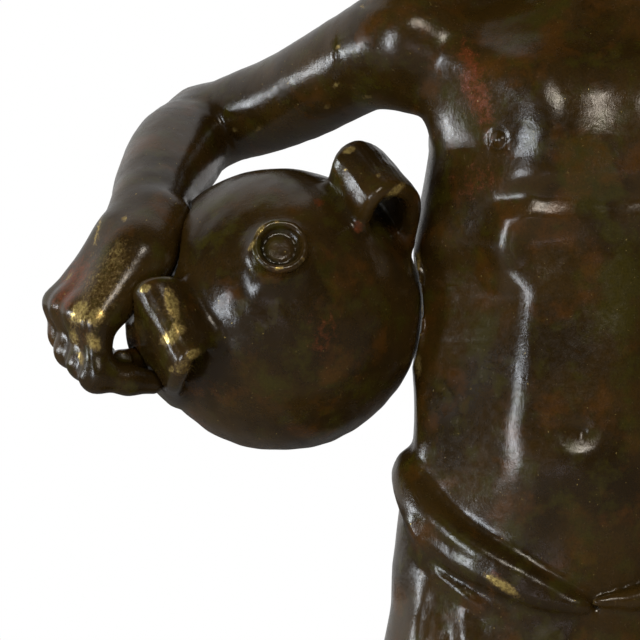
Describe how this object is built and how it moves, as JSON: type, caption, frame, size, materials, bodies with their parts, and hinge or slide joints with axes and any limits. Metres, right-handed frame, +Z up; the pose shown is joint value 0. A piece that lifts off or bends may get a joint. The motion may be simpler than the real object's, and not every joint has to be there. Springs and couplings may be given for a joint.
{
  "type": "bronze water carrier statue",
  "caption": "Standing bronze figure of a young water carrier, a round two-handled jug held at the right hip, on a low round base.",
  "frame": {"origin": "centre of the base's underside", "axes": "+Z up along the standing figure, -Y the way the figure's chest faces, +X to the viewer's right"},
  "size_m": [0.2122, 0.164, 0.5394],
  "materials": {
    "figure_bronze": "cast bronze with a dark chocolate-brown patina, reddish in places, worn to gold on what stands proud, satin gloss",
    "jug_bronze": "cast bronze with a dark olive-brown patina, worn to gold on the handles and the rim of the neck, satin gloss",
    "base_bronze": "cast bronze with a dark brown patina, satin gloss"
  },
  "bodies": {
    "root": {"figure": "figure_bronze", "jug": "jug_bronze", "base": "base_bronze"}
  },
  "joints": []
}
